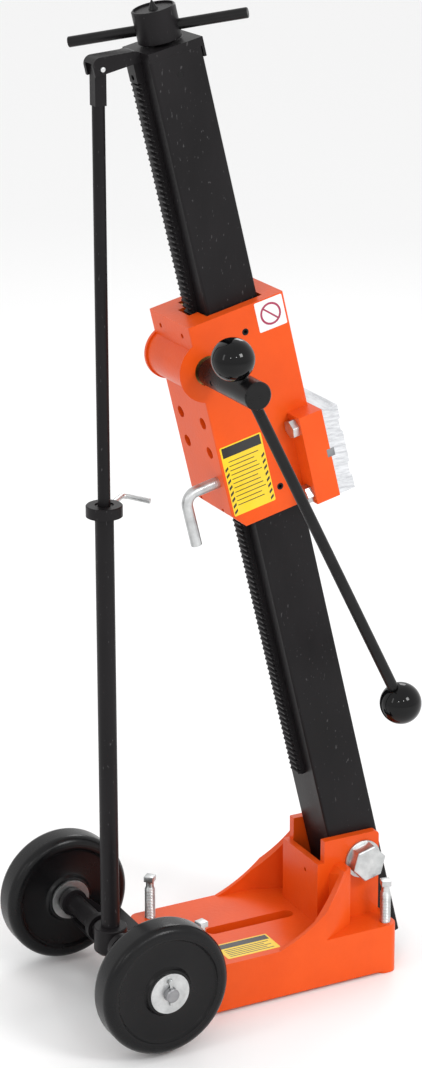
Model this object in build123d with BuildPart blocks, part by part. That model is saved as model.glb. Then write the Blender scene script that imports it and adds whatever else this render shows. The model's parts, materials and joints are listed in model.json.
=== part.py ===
from build123d import *
import math
import os

# Core drill rig: a square mast with a rack on its back tilts in a cast base, a
# telescoping brace holds it, and a carriage climbs it on a pinion. Millimetres.
# Origin: centre of the anchor slot on the floor. +X is the front, +Z is up.

# ---- driving dimensions ------------------------------------------------------
# base casting
base_length = 274.0
base_width = 165.1
base_front = 154.0
deck_height = 60.3
deck_thickness = 12.0
base_wall = 10.0
base_corner = 12.0
pad_height = 3.2
pad_size = 26.0
slot_length = 114.0
slot_width = 17.5
slot_wall = 8.0
cheek_thickness = 9.5
cheek_top = 163.2
cheek_rear = 76.0
cheek_front = 149.5
stop_wall_top = 136.2
stop_wall_front = 75.0
stop_wall_depth = 8.0
stop_wall_hole = 5.0
gusset_thickness = 5.0
gusset_bend = 43.0
gusset_rear = -3.0
gusset_front = 90.0
gusset_top = 132.0

# levelling screws
level_thread = 12.7
level_tip = 1.5
level_top = 113.0
level_head_width = 11.5
level_head_height = 7.0
level_neck = 9.5
level_neck_height = 8.0
level_front_x = 143.0
level_rear_x = -98.0
level_offset = 66.5
level_front_offset = 70.0

# mast
mast_size = 63.5
mast_wall = 4.8
mast_corner = 3.0
mast_above = 999.0
mast_below = 119.0
tilt = 13.7
pivot_x = 127.0
pivot_height = 132.2
bolt_size = 25.4
bolt_head_width = 38.1
bolt_head_height = 15.9
bolt_nut_height = 15.9
bolt_washer = 3.0
sleeve_wall = 4.8

# rack and pinion (12 diametral pitch)
module = 25.4 / 12
pinion_wall = 1.3
pressure_angle = 20.0
rack_width = 19.05
rack_thickness = 9.525
rack_addendum = 1.45
rack_root_gap = 0.35
rack_bottom = 118.0
rack_stop_length = 23.1
stop_hole = 6.0
pinion_width = 24.0
pinion_backlash = 0.30
feed_height = 653.6

# mast head
cap_thickness = 10.0
cap_lip = 3.2
cap_lip_drop = 12.0
cap_tab = 14.0
screw_drop = 22.0
screw_size = 7.0
screw_length = 10.0
jack_thread = 19.05
jack_screw_length = 128.0
jack_nut_size = 38.0
jack_nut_height = 34.0
jack_head_size = 48.5
jack_head_height = 37.0
jack_gap = 2.5
tommy_rise = 14.0
jack_rim = 2.6
jack_recess = 2.0
jack_point_size = 11.0
jack_point_height = 10.0
tommy_size = 12.0
tommy_length = 200.0
tommy_turn = -37.3

# brace
axle_x = -181.0
axle_height = 82.5
pin_rise = 6.0
pin_offset = 78.0
pin_size = 5.0
fork_thickness = 4.9
fork_gap = 15.2
fork_round = 9.0
fork_root = 16.0
fork_end = 10.0
fork_step = 3.0
fork_rise = 8.0
fork_head = 8.4
rod_size = 14.3
rod_inserted = 150.0
rod_end_width = 14.0
rod_end_depth = 13.4
rod_end_length = 46.0
rod_end_above = 5.5
rod_end_taper = 8.0
brace_tube_size = 21.3
collar_size = 41.3
collar_height = 12.7
collar_top = 520.7
foot_size = 38.1
foot_above = 14.7
foot_below = 17.3
clamp_size = 6.35
clamp_turn = 43.0
clamp_reach = 56.0
clamp_leg = 33.0
clamp_dip = 6.0
clamp_bend = 6.0

# axle and wheels
axle_size = 15.875
axle_length = 322.0
axle_tube_size = 22.2
wheel_size = 152.4
wheel_centre = 130.9
wheel_hub = 39.4
wheel_width = 38.0
tyre_thickness = 11.7
tyre_round = 11.0
rim_lip = 3.0
disc_recess = 4.0
hub_ring = 30.5
hub_rise = 3.0
washer_size = 47.0
washer_thickness = 3.0
bush_wall = 3.2
cotter_size = 3.2
cotter_length = 27.0
shelf_half = 104.0
shelf_thickness = 5.0
shelf_top = 62.0
shelf_depth = 63.0
shelf_notch = 26.0
flange_drop = 42.0
flange_half = 66.0
saddle_rib = 8.0
bracket_screw = 8.0

# carriage
carriage_bottom = 462.5
carriage_height = 246.5
carriage_width = 97.0
carriage_back = 65.0
carriage_front = 55.0
passage_gap = 3.5
rack_channel = 28.0
rack_channel_gap = 5.0
flange_back = 28.0
flange_front = 57.5
flange_half_width = 75.0
flange_bottom = 465.5
flange_height = 106.0
housing_radius = 29.5
housing_rim = 31.5
housing_flare = 36.0
flare_depth = 13.0
housing_bore = 34.0
feed_shaft_size = 19.05
bush_reach = 33.0
plug_thickness = 3.0
spacer_thickness = 20.0
spacer_groove = 2.2
motor_bolt = 12.7
motor_bolt_head = 19.0
motor_bolt_head_height = 8.0
motor_bolt_offset = 61.0
motor_bolt_low = 476.0
motor_bolt_high = 557.0
motor_hole = 8.5
motor_bolt_depth = 15.0
motor_circle = 88.9
key_size = 9.5
pad_depth = 4.0
pad_length = 26.0
pad_low = 491.5
pad_high = 680.5
side_pad_width = 34.0
back_pad_width = 11.0
back_pad_low = 480.0
back_pad_high = 694.5
back_pad_offset = 26.5
set_screw = 8.0
back_screw = 6.0
back_screw_inset = 4.0
pocket_hole = 14.0
pocket_hole_depth = 20.0
pocket_low = 552.5
pocket_high = 588.5
pocket_offset = 27.0
lock_size = 12.7
lock_height = 517.3
lock_offset = 30.0
lock_reach = 42.0
lock_leg = 61.0
lock_bend = 14.0
lock_shoe = 13.0

# feed handle
hub_size = 31.75
hub_start = 53.0
hub_end = 163.0
hub_socket = 60.0
hub_screw = 6.0
bar_size = 12.7
bar_plane = 140.0
bar_angle = 26.6
bar_short = 42.0
bar_long = 436.6
knob_size = 47.6

# clearances
running = 0.05
pad_gap = 0.25
cheek_gap = 0.85
sleeve_gap = 0.3

# ---- frames ------------------------------------------------------------------
lean = math.radians(tilt)
up = Vector(-math.sin(lean), 0, math.cos(lean))
across = Vector(math.cos(lean), 0, math.sin(lean))
pivot = Vector(pivot_x, 0, pivot_height)
half_mast = mast_size / 2


def mast_point(v, y, u):
    """A point at v across, y sideways and u up the mast, from the pivot."""
    return pivot + across * v + up * u + Vector(0, y, 0)


def mast_section(u):
    """Plane square to the mast, u above the pivot: x across, y sideways."""
    return Plane(origin=mast_point(0, 0, u), x_dir=across, z_dir=up)


def mast_side(y=0.0):
    """Plane along the mast seen from -Y: x across, y up the mast."""
    return Plane(origin=mast_point(0, y, 0), x_dir=across, z_dir=(0, -1, 0))


def mast_back(v):
    """Plane facing back from the mast: x towards -Y, y up the mast."""
    return Plane(origin=mast_point(v, 0, 0), x_dir=(0, -1, 0), z_dir=-across)


def floor(z):
    return Plane.XY.offset(z)


def side_wall(y):
    """Plane across the rig at y, facing -Y: x to the front, y up."""
    return Plane(origin=(0, y, 0), x_dir=(1, 0, 0), z_dir=(0, -1, 0))


def finish(part, name):
    part.label = name
    export_step(part, f"parts/{name}.step")


os.makedirs("parts", exist_ok=True)

# ---- base casting ------------------------------------------------------------
half_base = base_width / 2
base_rear = base_front - base_length
base_middle = (base_front + base_rear) / 2
cheek_inner = half_mast + cheek_gap
cheek_outer = cheek_inner + cheek_thickness
wall_rear = stop_wall_front - stop_wall_depth
rib_half = slot_width / 2 + slot_wall
hollow_front = stop_wall_front - base_wall
hollow_rear = base_rear + base_wall
hollow_side = half_base - base_wall
level_spots = [
    (level_rear_x, -level_offset),
    (level_rear_x, level_offset),
    (level_front_x, -level_front_offset),
    (level_front_x, level_front_offset),
]
flange_mid = shelf_top - shelf_thickness - flange_drop / 2
bracket_plane = Plane(origin=(base_rear, 0, flange_mid), x_dir=(0, -1, 0), z_dir=(-1, 0, 0))

with BuildPart() as base_casting:
    with BuildSketch(floor(pad_height)):
        with Locations((base_middle, 0)):
            RectangleRounded(base_length, base_width, base_corner)
    extrude(amount=deck_height - pad_height)
    # cheeks, with the stop wall behind them
    with BuildSketch(side_wall(0)) as cheek_shape:
        with BuildLine():
            Polyline(
                (wall_rear, deck_height - 1),
                (wall_rear, stop_wall_top),
                (cheek_rear, stop_wall_top),
                (cheek_rear, cheek_top),
                (cheek_front, cheek_top),
                (cheek_front, deck_height - 1),
                close=True,
            )
        make_face()
        fillet(cheek_shape.vertices().sort_by(Axis.Y)[-2:].sort_by(Axis.X)[-1:], 6)
    extrude(amount=cheek_outer, both=True)
    # gussets run from the sides of the deck in to the cheeks
    with BuildSketch(floor(deck_height - 1)):
        for s in (-1, 1):
            with BuildLine():
                Polyline(
                    (gusset_rear, s * half_base),
                    (gusset_bend + 14, s * half_base),
                    (gusset_front + 12, s * (half_base - 24)),
                    (gusset_front + 12, s * (cheek_outer - 1)),
                    (gusset_front - 8, s * (cheek_outer - 1)),
                    (gusset_front - 4, s * (half_base - 23)),
                    (gusset_bend, s * (half_base - gusset_thickness)),
                    (gusset_rear, s * (half_base - gusset_thickness)),
                    close=True,
                )
            make_face()
    extrude(amount=gusset_top - deck_height + 1)
    # their tops sag from the cheeks down to the deck
    for s in (-1, 1):
        with BuildSketch(side_wall(s * (half_base + cheek_outer) / 2)):
            with BuildLine():
                sag = Spline(
                    (gusset_rear - 1, deck_height),
                    (gusset_bend, deck_height + 0.34 * (gusset_top - deck_height)),
                    (gusset_front, gusset_top + 1),
                )
                Polyline(sag @ 1, (gusset_rear - 1, gusset_top + 1), sag @ 0)
            make_face()
        extrude(amount=(half_base - cheek_outer) / 2, both=True, mode=Mode.SUBTRACT)
    # the mast's notch, open at the front
    with BuildSketch(floor(-1)):
        with Locations(((stop_wall_front + base_front + 5) / 2, 0)):
            Rectangle(base_front + 5 - stop_wall_front, 2 * cheek_inner)
    extrude(amount=cheek_top + 5, mode=Mode.SUBTRACT)
    # hollow underside, either side of the slot's walls
    with BuildSketch(floor(pad_height - 1)):
        for s in (-1, 1):
            with Locations(((hollow_front + hollow_rear) / 2, s * (rib_half + hollow_side) / 2)):
                RectangleRounded(hollow_front - hollow_rear, hollow_side - rib_half, base_corner / 2)
    extrude(amount=deck_height - deck_thickness - pad_height + 1, mode=Mode.SUBTRACT)
    # feet and screw bosses
    with BuildSketch(floor(0)):
        for x in (base_rear + pad_size / 2, base_front - pad_size / 2):
            for y in (pad_size / 2 - half_base, half_base - pad_size / 2):
                with Locations((x, y)):
                    RectangleRounded(pad_size, pad_size, base_corner - 1)
        with Locations(*level_spots[:2]):
            Circle(level_thread)
    extrude(amount=deck_height - 1)
    # anchor slot, screw holes, pivot bore
    with BuildSketch(floor(-1)):
        SlotOverall(slot_length, slot_width)
        with Locations(*level_spots):
            Circle(level_thread / 2 + running)
    extrude(amount=deck_height + 2, mode=Mode.SUBTRACT)
    with BuildSketch(side_wall(0)):
        with Locations((pivot_x, pivot_height)):
            Circle(bolt_size / 2)
    extrude(amount=half_base, both=True, mode=Mode.SUBTRACT)
    with BuildSketch(Plane.YZ.offset(wall_rear - 1)):
        with Locations((-12, stop_wall_top - 18)):
            Circle(stop_wall_hole / 2)
    extrude(amount=stop_wall_depth + 2, mode=Mode.SUBTRACT)
    with BuildSketch(bracket_plane):
        with GridLocations(1.6 * flange_half, flange_drop / 2, 2, 2):
            Circle(bracket_screw / 2)
    extrude(amount=-base_wall - 1, mode=Mode.SUBTRACT)
finish(base_casting.part, "base_casting")

# ---- levelling screws --------------------------------------------------------
head_low = level_top - level_head_height
neck_low = head_low - level_neck_height
for n, spot in enumerate(level_spots):
    with BuildPart() as level_screw:
        with BuildSketch(floor(level_tip)):
            with Locations(spot):
                Circle(level_thread / 2)
        extrude(amount=neck_low - level_tip)
        chamfer(level_screw.edges().group_by(Axis.Z)[0], 1.2)
        with BuildSketch(floor(neck_low)):
            with Locations(spot):
                Circle(level_neck / 2)
        extrude(amount=level_neck_height)
        with BuildSketch(floor(head_low)):
            with Locations(spot):
                Rectangle(level_head_width, level_head_width, rotation=12 + 31 * n)
        extrude(amount=level_head_height)
        chamfer(level_screw.edges().group_by(Axis.Z)[-1], 0.6)
    finish(level_screw.part, f"level_screw_{n + 1}")

# ---- pivot bolt, nut and washers ---------------------------------------------
head_face = cheek_outer + bolt_washer

with BuildPart() as pivot_bolt:
    with BuildSketch(side_wall(head_face)):
        with Locations((pivot_x, pivot_height)):
            Circle(bolt_size / 2)
    extrude(amount=2 * head_face)
    with BuildSketch(side_wall(-head_face)):
        with Locations((pivot_x, pivot_height)):
            RegularPolygon(bolt_head_width / 2, 6, major_radius=False, rotation=tilt)
    extrude(amount=bolt_head_height)
    chamfer(pivot_bolt.edges().group_by(Axis.Y)[0], 1.2)
    with BuildSketch(side_wall(head_face)):
        with Locations((pivot_x, pivot_height)):
            Circle(bolt_size / 2)
    extrude(amount=-bolt_nut_height)
    chamfer(pivot_bolt.edges().group_by(Axis.Y)[-1], 1.5)
finish(pivot_bolt.part, "pivot_bolt")

with BuildPart() as pivot_nut:
    with BuildSketch(side_wall(head_face + bolt_nut_height)):
        with Locations((pivot_x, pivot_height)):
            RegularPolygon(bolt_head_width / 2, 6, major_radius=False, rotation=7)
            Circle(bolt_size / 2, mode=Mode.SUBTRACT)
    extrude(amount=bolt_nut_height)
finish(pivot_nut.part, "pivot_nut")

with BuildPart() as pivot_washers:
    for y in (-cheek_outer, head_face):
        with BuildSketch(side_wall(y)):
            with Locations((pivot_x, pivot_height)):
                Circle(bolt_head_width / 2 + 4)
                Circle(bolt_size / 2, mode=Mode.SUBTRACT)
        extrude(amount=bolt_washer)
finish(pivot_washers.part, "pivot_washers")

# ---- axle bracket ------------------------------------------------------------
notch_front = axle_x + foot_size / 2 + 8
shelf_rear = base_rear - shelf_depth
saddle_radius = axle_tube_size / 2 + 5
saddle_out = wheel_centre - wheel_hub / 2 - washer_thickness - 2
saddle_in = shelf_notch + saddle_rib

with BuildPart() as axle_bracket:
    with BuildSketch(floor(shelf_top - shelf_thickness)):
        with Locations((base_rear - shelf_depth / 2, 0)):
            Rectangle(shelf_depth, 2 * shelf_half)
        with Locations(((notch_front + shelf_rear) / 2 - 1, 0)):
            Rectangle(notch_front - shelf_rear + 2, 2 * shelf_notch, mode=Mode.SUBTRACT)
    extrude(amount=shelf_thickness)
    with BuildSketch(bracket_plane):
        RectangleRounded(2 * flange_half, flange_drop, 6)
        with Locations((0, flange_drop / 4)):
            Rectangle(2 * flange_half, flange_drop / 2)
        with GridLocations(1.6 * flange_half, flange_drop / 2, 2, 2):
            Circle(bracket_screw / 2, mode=Mode.SUBTRACT)
    extrude(amount=shelf_thickness)
    for y in (-saddle_out + saddle_rib, -saddle_in + saddle_rib, saddle_in, saddle_out):
        with BuildSketch(side_wall(y)):
            with Locations((axle_x, axle_height)):
                Circle(saddle_radius)
            with BuildLine():
                Polyline(
                    (axle_x - 2, shelf_top - 1),
                    (axle_x - 2, axle_height),
                    (axle_x, axle_height + saddle_radius),
                    (axle_x + 44, shelf_top + 1),
                    (axle_x + 44, shelf_top - 1),
                    close=True,
                )
            make_face()
            with Locations((axle_x, axle_height)):
                Circle(axle_tube_size / 2, mode=Mode.SUBTRACT)
        extrude(amount=saddle_rib)
finish(axle_bracket.part, "axle_bracket")

with BuildPart() as bracket_screws:
    with BuildSketch(bracket_plane.offset(shelf_thickness)):
        with GridLocations(1.6 * flange_half, flange_drop / 2, 2, 2):
            RegularPolygon(bracket_screw * 0.8, 6, major_radius=False)
    extrude(amount=5.3)
    with BuildSketch(bracket_plane.offset(shelf_thickness)):
        with GridLocations(1.6 * flange_half, flange_drop / 2, 2, 2):
            Circle(bracket_screw / 2)
    extrude(amount=-shelf_thickness - base_wall)
finish(bracket_screws.part, "bracket_screws")

# ---- axle, its tubes, washers and cotter pins --------------------------------
hub_in = wheel_centre - wheel_hub / 2
hub_out = wheel_centre + wheel_hub / 2
tube_in = foot_size / 2 + 0.5
tube_out = hub_in - washer_thickness - running
outer_face = hub_out + running + washer_thickness
cotter_y = hub_out + washer_thickness + cotter_size / 2 + 0.6

with BuildPart() as axle:
    with BuildSketch(side_wall(0)):
        with Locations((axle_x, axle_height)):
            Circle(axle_size / 2)
    extrude(amount=axle_length / 2, both=True)
    chamfer(axle.edges().group_by(Axis.Y)[0], 1)
    chamfer(axle.edges().group_by(Axis.Y)[-1], 1)
    with BuildSketch(floor(axle_height)):
        with Locations((axle_x, -cotter_y), (axle_x, cotter_y)):
            Circle(cotter_size / 2)
    extrude(amount=axle_size, both=True, mode=Mode.SUBTRACT)
finish(axle.part, "axle")

with BuildPart() as axle_tubes:
    for y in (-tube_in, tube_out):
        with BuildSketch(side_wall(y)):
            with Locations((axle_x, axle_height)):
                Circle(axle_tube_size / 2)
                Circle(axle_size / 2, mode=Mode.SUBTRACT)
        extrude(amount=tube_out - tube_in)
finish(axle_tubes.part, "axle_tubes")

with BuildPart() as axle_washers:
    for y in (-hub_out - running, -tube_out, hub_in - running, outer_face):
        with BuildSketch(side_wall(y)):
            with Locations((axle_x, axle_height)):
                Circle(washer_size / 2)
                Circle(axle_size / 2, mode=Mode.SUBTRACT)
        extrude(amount=washer_thickness)
finish(axle_washers.part, "axle_washers")

with BuildPart() as cotter_pins:
    with BuildSketch(floor(axle_height - cotter_length / 2)):
        with Locations((axle_x, -cotter_y), (axle_x, cotter_y)):
            Circle(cotter_size / 2)
    extrude(amount=cotter_length)
    for y in (-cotter_y, cotter_y):
        with BuildSketch(side_wall(y)):
            with Locations((axle_x, axle_height + cotter_length / 2 + 1)):
                Circle(cotter_size)
        extrude(amount=cotter_size / 2, both=True)
finish(cotter_pins.part, "cotter_pins")

# ---- wheels ------------------------------------------------------------------
tyre_inner = wheel_size / 2 - tyre_thickness
bush_outer = axle_size / 2 + bush_wall
disc_face = wheel_width / 2 - disc_recess

for name, side in (("near", -1), ("far", 1)):
    centre = (axle_x, side * wheel_centre, axle_height)
    radial = Plane(origin=centre, x_dir=(1, 0, 0), z_dir=(0, 0, 1))
    spin = Axis(centre, (0, 1, 0))
    with BuildPart() as wheel:
        with BuildSketch(radial):
            with BuildLine():
                Polyline(
                    (bush_outer, 0),
                    (bush_outer, wheel_hub / 2),
                    (hub_ring - 4, wheel_hub / 2),
                    (hub_ring, disc_face),
                    (tyre_inner - rim_lip - 1.5, disc_face),
                    (tyre_inner - rim_lip, wheel_width / 2),
                    (tyre_inner, wheel_width / 2),
                    (tyre_inner, 0),
                    close=True,
                )
            make_face()
            mirror(about=Plane.XZ)
        revolve(axis=spin)
    finish(wheel.part, f"wheel_{name}")

    with BuildPart() as wheel_bush:
        with BuildSketch(radial):
            with Locations((axle_size / 2 + running + (bush_wall - running) / 2, 0)):
                Rectangle(bush_wall - running, wheel_hub)
        revolve(axis=spin)
    finish(wheel_bush.part, f"wheel_bush_{name}")

    with BuildPart() as tyre:
        with BuildSketch(radial) as tread:
            with Locations((tyre_inner + tyre_thickness / 2, 0)):
                Rectangle(tyre_thickness, wheel_width)
            fillet(tread.vertices().group_by(Axis.X)[-1], tyre_round)
        revolve(axis=spin)
    finish(tyre.part, f"tyre_{name}")

# ---- mast --------------------------------------------------------------------
half_bore = half_mast - mast_wall
sleeve_outer = bolt_size / 2 + running + sleeve_wall

with BuildPart() as mast_tube:
    with BuildSketch(mast_section(-mast_below)):
        RectangleRounded(mast_size, mast_size, mast_corner)
        RectangleRounded(2 * half_bore, 2 * half_bore, mast_corner / 2, mode=Mode.SUBTRACT)
    extrude(amount=mast_above + mast_below)
    with BuildSketch(mast_side()):
        Circle(sleeve_outer)
    extrude(amount=half_mast + 1, both=True, mode=Mode.SUBTRACT)
    with BuildSketch(mast_side()):
        with Locations((0, mast_above - screw_drop)):
            Circle(screw_size / 2)
    extrude(amount=half_mast + 1, both=True, mode=Mode.SUBTRACT)
finish(mast_tube.part, "mast_tube")

with BuildPart() as pivot_sleeve:
    with BuildSketch(mast_side()):
        Circle(sleeve_outer)
        Circle(bolt_size / 2 + running, mode=Mode.SUBTRACT)
    extrude(amount=half_mast, both=True)
finish(pivot_sleeve.part, "pivot_sleeve")

# ---- rack --------------------------------------------------------------------
pitch = math.pi * module
flank = math.tan(math.radians(pressure_angle))
tip = -half_mast - rack_thickness
pitch_line = tip + rack_addendum
root = pitch_line + module + rack_root_gap
rack_teeth = int((mast_above - rack_stop_length - rack_bottom) / pitch)
rack_top = rack_bottom + rack_teeth * pitch
half_tip = pitch / 4 - pinion_backlash / 2 - rack_addendum * flank
half_root = pitch / 4 - pinion_backlash / 2 + (root - pitch_line) * flank
rack_points = []
for n in range(rack_teeth):
    middle = rack_bottom + (n + 0.5) * pitch
    rack_points += [
        (root, middle - half_root),
        (tip, middle - half_tip),
        (tip, middle + half_tip),
        (root, middle + half_root),
    ]

with BuildPart() as rack:
    with BuildSketch(mast_side()):
        with BuildLine():
            Polyline(
                (-half_mast, rack_bottom),
                (root, rack_bottom),
                *rack_points,
                (root, rack_top),
                (-half_mast, rack_top),
                close=True,
            )
        make_face()
    extrude(amount=rack_width / 2, both=True)
finish(rack.part, "rack")

with BuildPart() as rack_stop:
    with BuildSketch(mast_side()):
        with Locations(((tip - half_mast) / 2, (rack_top + mast_above) / 2)):
            Rectangle(rack_thickness, mast_above - rack_top)
    extrude(amount=rack_width / 2, both=True)
    with BuildSketch(mast_back(tip)):
        with Locations((0, rack_top + stop_hole)):
            Circle(stop_hole / 2)
    extrude(amount=-rack_thickness, mode=Mode.SUBTRACT)
finish(rack_stop.part, "rack_stop")

with BuildPart() as stop_screw:
    with BuildSketch(mast_back(tip + 3)):
        with Locations((0, rack_top + stop_hole)):
            Circle(stop_hole / 2)
            RegularPolygon(stop_hole / 4, 6, major_radius=False, mode=Mode.SUBTRACT)
    extrude(amount=-rack_thickness + 3)
finish(stop_screw.part, "stop_screw")

# ---- mast head: cap, fork, jack ----------------------------------------------
cap_top = mast_above + cap_thickness
pin_height = mast_above + pin_rise
nut_low = mast_above - jack_nut_height
fork_half = fork_gap / 2 + fork_thickness
fork_rear = -pin_offset - fork_end
tab_middle = fork_half + cap_tab / 2 + 1

with BuildPart() as mast_cap:
    with BuildSketch(mast_section(mast_above)):
        with Locations((cap_lip / 2, 0)):
            Rectangle(mast_size + cap_lip, mast_size)
        with Locations((-half_mast - cap_tab / 2, tab_middle)):
            Rectangle(cap_tab, cap_tab)
        Circle(jack_thread / 2 + running, mode=Mode.SUBTRACT)
        with Locations((-half_mast - cap_tab / 2, tab_middle)):
            Circle(cap_tab / 5, mode=Mode.SUBTRACT)
    extrude(amount=cap_thickness)
    with BuildSketch(mast_side()):
        with Locations((half_mast + cap_lip / 2, mast_above - cap_lip_drop / 2 + 1)):
            Rectangle(cap_lip, cap_lip_drop + 2)
    extrude(amount=half_mast, both=True)
finish(mast_cap.part, "mast_cap")

with BuildPart() as jack_nut:
    with BuildSketch(mast_section(nut_low)):
        Rectangle(jack_nut_size, 2 * half_bore)
        Circle(jack_thread / 2 + running, mode=Mode.SUBTRACT)
    extrude(amount=jack_nut_height)
    for y in (-half_mast, half_mast):
        with BuildSketch(mast_side(y)):
            with Locations((0, mast_above - screw_drop)):
                Circle(screw_size / 2)
        extrude(amount=math.copysign(screw_length, y), mode=Mode.SUBTRACT)
finish(jack_nut.part, "jack_nut")

with BuildPart() as cap_screws:
    for y in (-half_mast, half_mast):
        with BuildSketch(mast_side(y)):
            with Locations((0, mast_above - screw_drop)):
                Circle(screw_size / 2)
        extrude(amount=math.copysign(screw_length, y))
finish(cap_screws.part, "cap_screws")

with BuildPart() as brace_fork:
    with BuildSketch(mast_side()) as fork_shape:
        with BuildLine():
            Polyline(
                (-half_mast, mast_above),
                (-half_mast, cap_top),
                (-half_mast - 4, cap_top + fork_step),
                (fork_rear, cap_top + fork_step + fork_rise),
                (fork_rear, mast_above),
                close=True,
            )
        make_face()
        fillet(fork_shape.vertices().sort_by(SortBy.DISTANCE)[-2:], fork_round)
    extrude(amount=fork_half, both=True)
    with BuildSketch(mast_side()):
        with BuildLine():
            Polyline(
                (-half_mast - fork_root, mast_above - 1),
                (-half_mast - fork_root, pin_height + fork_head - 2.6),
                (-half_mast - fork_root - 8, pin_height + fork_head),
                (fork_rear - 1, pin_height + fork_head),
                (fork_rear - 1, mast_above - 1),
                close=True,
            )
        make_face()
    extrude(amount=fork_gap / 2, both=True, mode=Mode.SUBTRACT)
finish(brace_fork.part, "brace_fork")

# pin heads, riveted on the outside of the fork
with BuildPart() as fork_pin_heads:
    for y in (-fork_half, fork_half):
        with BuildSketch(mast_side(y)):
            with Locations((-pin_offset, pin_height)):
                Circle(pin_size * 0.62)
        extrude(amount=-math.copysign(2.2, y))
    fillet(fork_pin_heads.edges().group_by(Axis.Y)[0], 1.4)
    fillet(fork_pin_heads.edges().group_by(Axis.Y)[-1], 1.4)
finish(fork_pin_heads.part, "fork_pin_heads")

jack_low = cap_top + jack_gap
jack_top = jack_low + jack_head_height
tommy_height = jack_low + tommy_rise

with BuildPart() as jack_screw:
    with BuildSketch(mast_section(jack_low - jack_screw_length)):
        Circle(jack_thread / 2)
    extrude(amount=jack_screw_length)
finish(jack_screw.part, "jack_screw")

turned = across.rotate(Axis((0, 0, 0), up), tommy_turn)
tommy_start = mast_point(0, 0, tommy_height) - turned * (tommy_length / 2)
tommy_plane = Plane(origin=tommy_start, x_dir=up, z_dir=turned)

with BuildPart() as jack_head:
    with BuildSketch(mast_section(jack_low)):
        Circle(jack_head_size / 2)
    extrude(amount=jack_head_height)
    chamfer(jack_head.edges(), 1.2)
    with BuildSketch(tommy_plane):
        Circle(tommy_size / 2)
    extrude(amount=tommy_length, mode=Mode.SUBTRACT)
    with BuildSketch(mast_section(jack_top)):
        Circle(jack_head_size / 2 - jack_rim)
    extrude(amount=-jack_recess, mode=Mode.SUBTRACT)
finish(jack_head.part, "jack_head")

with BuildPart() as jack_point:
    with BuildSketch(mast_section(jack_top - jack_recess)):
        Circle(jack_point_size / 2)
    extrude(amount=jack_point_height, taper=26)
finish(jack_point.part, "jack_point")

with BuildPart() as tommy_bar:
    with BuildSketch(tommy_plane):
        Circle(tommy_size / 2)
    extrude(amount=tommy_length)
    chamfer(tommy_bar.edges().filter_by(GeomType.CIRCLE), 0.8)
finish(tommy_bar.part, "tommy_bar")

# ---- brace -------------------------------------------------------------------
axle_point = Vector(axle_x, 0, axle_height)
pin_point = mast_point(-pin_offset, 0, pin_height)
brace_length = (pin_point - axle_point).length
brace_up = (pin_point - axle_point).normalized()
brace_across = Vector(brace_up.Z, 0, -brace_up.X)


def brace_section(d):
    """Plane square to the brace, d above the axle."""
    return Plane(origin=axle_point + brace_up * d, x_dir=brace_across, z_dir=brace_up)


rod_bore = rod_size / 2 + running
tube_top = collar_top - 1.5
rod_low = collar_top - rod_inserted
end_low = brace_length + rod_end_above - rod_end_length
clamp_along = collar_top - collar_height / 2

with BuildPart() as brace_foot:
    with BuildSketch(brace_section(-foot_below)):
        Circle(foot_size / 2)
    extrude(amount=foot_below + foot_above)
    chamfer(brace_foot.edges().group_by(Axis.Z)[0], 4)
    chamfer(brace_foot.edges().group_by(Axis.Z)[-1], 1)
    with BuildSketch(side_wall(0)):
        with Locations((axle_x, axle_height)):
            Circle(axle_size / 2 + running)
    extrude(amount=foot_size, both=True, mode=Mode.SUBTRACT)
finish(brace_foot.part, "brace_foot")

clamp_azimuth = brace_across.rotate(Axis((0, 0, 0), brace_up), clamp_turn)
clamp_side = clamp_azimuth.cross(brace_up)
clamp_leg_way = clamp_side.rotate(Axis((0, 0, 0), clamp_azimuth), clamp_dip)
clamp_root = axle_point + brace_up * clamp_along
clamp_plane = Plane(origin=clamp_root, x_dir=brace_up, z_dir=clamp_azimuth)

with BuildPart() as brace_tube:
    with BuildSketch(brace_section(foot_above)):
        Circle(brace_tube_size / 2)
        Circle(rod_bore, mode=Mode.SUBTRACT)
    extrude(amount=tube_top - foot_above)
    with BuildSketch(clamp_plane):
        Circle(clamp_size / 2 + running)
    extrude(amount=collar_size, mode=Mode.SUBTRACT)
finish(brace_tube.part, "brace_tube")

with BuildPart() as brace_collar:
    with BuildSketch(brace_section(collar_top - collar_height)):
        Circle(collar_size / 2)
        Circle(brace_tube_size / 2, mode=Mode.SUBTRACT)
    extrude(amount=collar_height)
    chamfer(brace_collar.faces().sort_by(Axis.Z)[-1].edges().sort_by(SortBy.LENGTH)[-1:], 1)
    with BuildSketch(clamp_plane):
        Circle(clamp_size / 2 + running)
    extrude(amount=collar_size, mode=Mode.SUBTRACT)
finish(brace_collar.part, "brace_collar")

corner = clamp_root + clamp_azimuth * clamp_reach
with BuildPart() as clamp_screw:
    with BuildLine():
        FilletPolyline(
            clamp_root + clamp_azimuth * (rod_size / 2 + 0.5),
            corner,
            corner + clamp_leg_way * clamp_leg,
            radius=clamp_bend,
        )
    with BuildSketch(Plane(origin=clamp_root + clamp_azimuth * (rod_size / 2 + 0.5), z_dir=clamp_azimuth)):
        Circle(clamp_size / 2)
    sweep()
finish(clamp_screw.part, "clamp_screw")

with BuildPart() as brace_rod:
    with BuildSketch(brace_section(rod_low)):
        Circle(rod_size / 2)
    extrude(amount=end_low - rod_low)
    with BuildSketch(brace_section(end_low)):
        Rectangle(rod_end_depth, rod_end_width)
    extrude(amount=rod_end_length)
    chamfer(brace_rod.edges().group_by(Axis.Z)[-1], 0.8)
    with BuildSketch(mast_side()):
        with Locations((-pin_offset, pin_height)):
            Circle(pin_size / 2)
    extrude(amount=rod_end_width, both=True, mode=Mode.SUBTRACT)
finish(brace_rod.part, "brace_rod")

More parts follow.
